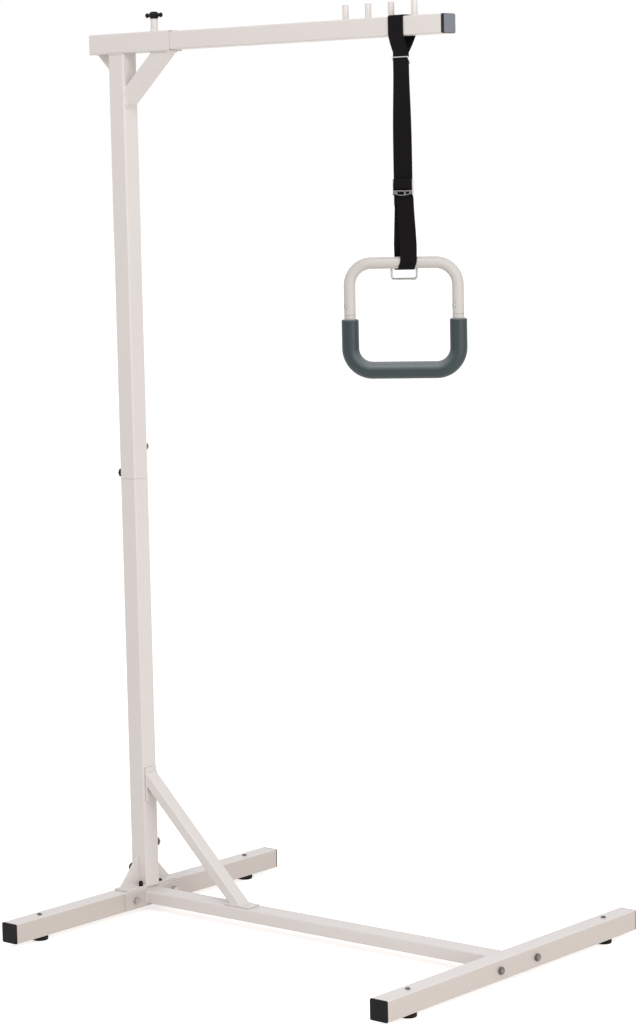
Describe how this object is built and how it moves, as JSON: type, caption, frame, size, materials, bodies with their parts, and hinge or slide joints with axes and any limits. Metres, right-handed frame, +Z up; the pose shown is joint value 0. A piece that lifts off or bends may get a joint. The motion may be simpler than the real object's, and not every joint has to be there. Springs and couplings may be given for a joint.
{
  "type": "freestanding trapeze",
  "caption": "Freestanding over-bed trapeze with an H-shaped base, a braced column, a pegged arm and a webbing strap that carries a rounded handle.",
  "frame": {"origin": "on the floor, at the middle of the bounding box's bottom face", "axes": "+Z up, +X along the arm from the column towards the handle, +Y across the base"},
  "size_m": [1.0292, 0.79, 1.8294],
  "materials": {
    "cream_coat": "semi-gloss powder coat",
    "black_plastic": "satin",
    "black_rubber": "matte",
    "zinc_steel": "zinc plated",
    "black_webbing": "woven",
    "slate_grip": "smooth moulded"
  },
  "bodies": {
    "stand": {"rear_crossbar": "cream_coat", "front_crossbar": "cream_coat", "base_beam": "cream_coat", "column_spigot": "cream_coat", "splice_tube": "cream_coat", "lower_column": "cream_coat", "upper_column": "cream_coat", "diagonal_brace": "cream_coat", "knee_brace": "cream_coat", "rear_gusset": "cream_coat", "arm_sleeve": "cream_coat", "crossbar_cap_rear_left": "black_plastic", "crossbar_cap_rear_right": "black_plastic", "crossbar_cap_front_left": "black_plastic", "crossbar_cap_front_right": "black_plastic", "foot_screw_rear_left": "black_plastic", "foot_screw_rear_right": "black_plastic", "foot_screw_front_left": "black_plastic", "foot_screw_front_right": "black_plastic", "foot_plate_screw_1": "black_plastic", "foot_plate_screw_2": "black_plastic", "foot_plate_screw_3": "black_plastic", "foot_plate_screw_4": "black_plastic", "foot_rear_left": "black_rubber", "foot_rear_right": "black_rubber", "foot_front_left": "black_rubber", "foot_front_right": "black_rubber", "flange_bolt_rear_left": "zinc_steel", "flange_bolt_rear_right": "zinc_steel", "flange_bolt_front_left": "zinc_steel", "flange_bolt_front_right": "zinc_steel", "cap_nut_rear_left": "zinc_steel", "cap_nut_rear_right": "zinc_steel", "cap_nut_front_left": "zinc_steel", "cap_nut_front_right": "zinc_steel", "foot_set_bolt": "zinc_steel", "splice_set_bolt": "zinc_steel", "brace_upper_bolt": "zinc_steel", "brace_lower_bolt": "zinc_steel"},
    "arm": {"arm_tube": "cream_coat", "arm_tip_cap": "black_plastic", "strap_arm_loop": "black_webbing", "strap_keeper_ring": "zinc_steel"},
    "clamp_screw": {"clamp_screw": "zinc_steel"},
    "locking_knob": {"locking_knob": "black_plastic"},
    "splice_knob": {"splice_knob": "black_plastic"},
    "foot_knob": {"foot_knob": "black_plastic"},
    "strap_upper": {"strap_upper_web": "black_webbing"},
    "strap_lower": {"strap_lower_web": "black_webbing"},
    "adjuster": {"buckle_frame": "zinc_steel", "cam_pin": "zinc_steel", "strap_handle_loop": "black_webbing"},
    "cam_lever": {"cam_lever": "zinc_steel"},
    "ring": {"hanging_ring": "zinc_steel"},
    "handle": {"handle_upper_tube": "cream_coat", "handle_lower_tube": "cream_coat", "handle_grip": "slate_grip", "handle_screw_left": "zinc_steel", "handle_screw_right": "zinc_steel"}
  },
  "joints": [
    {"name": "arm_slide", "type": "slide", "parent": "stand", "child": "arm", "axis": [1, 0, 0], "range_m": [-0.15, 0.1]},
    {"name": "clamp_screw_lift", "type": "slide", "parent": "stand", "child": "clamp_screw", "axis": [0, 0, 1], "range_m": [0, 0.003]},
    {"name": "locking_knob_turn", "type": "hinge", "parent": "clamp_screw", "child": "locking_knob", "pos_m": [-0.35315, 0, 1.815], "axis": [0, 0, 1], "range_deg": [0, 721]},
    {"name": "splice_knob_turn", "type": "hinge", "parent": "stand", "child": "splice_knob", "pos_m": [-0.44265, 0, 0.905], "axis": [-1, 0, 0], "range_deg": [0, 720]},
    {"name": "foot_knob_turn", "type": "hinge", "parent": "stand", "child": "foot_knob", "pos_m": [-0.44265, 0, 0.0805], "axis": [-1, 0, 0], "range_deg": [0, 720]},
    {"name": "strap_swing", "type": "hinge", "parent": "arm", "child": "strap_upper", "pos_m": [0.26995, -0.0046, 1.695], "axis": [1, 0, 0], "range_deg": [-55, 55]},
    {"name": "strap_twist", "type": "hinge", "parent": "strap_upper", "child": "strap_lower", "pos_m": [0.26995, -0.0046, 1.6], "axis": [0, 0, 1], "range_deg": [-120, 60]},
    {"name": "strap_length", "type": "slide", "parent": "strap_lower", "child": "adjuster", "axis": [0, 0, 1], "range_m": [-0.01, 0.04]},
    {"name": "cam_lever_turn", "type": "hinge", "parent": "adjuster", "child": "cam_lever", "pos_m": [0.27335, -0.01049, 1.467], "axis": [-0.866, -0.5, 0], "range_deg": [0, 60], "stiffness_Nm_per_rad": 0.05, "springref_deg": -11.46},
    {"name": "ring_swing", "type": "hinge", "parent": "adjuster", "child": "ring", "pos_m": [0.25821, 0.00894, 1.3357], "axis": [0.866, 0.5, 0], "range_deg": [-35, 100]},
    {"name": "handle_swing", "type": "hinge", "parent": "adjuster", "child": "handle", "pos_m": [0.26753, -0.006, 1.3342], "axis": [0.866, 0.5, 0], "range_deg": [-90, 90]}
  ],
  "couplings": [
    {"joint": "locking_knob_turn", "follows": "clamp_screw_lift", "rad_per_m": 4188.8}
  ]
}
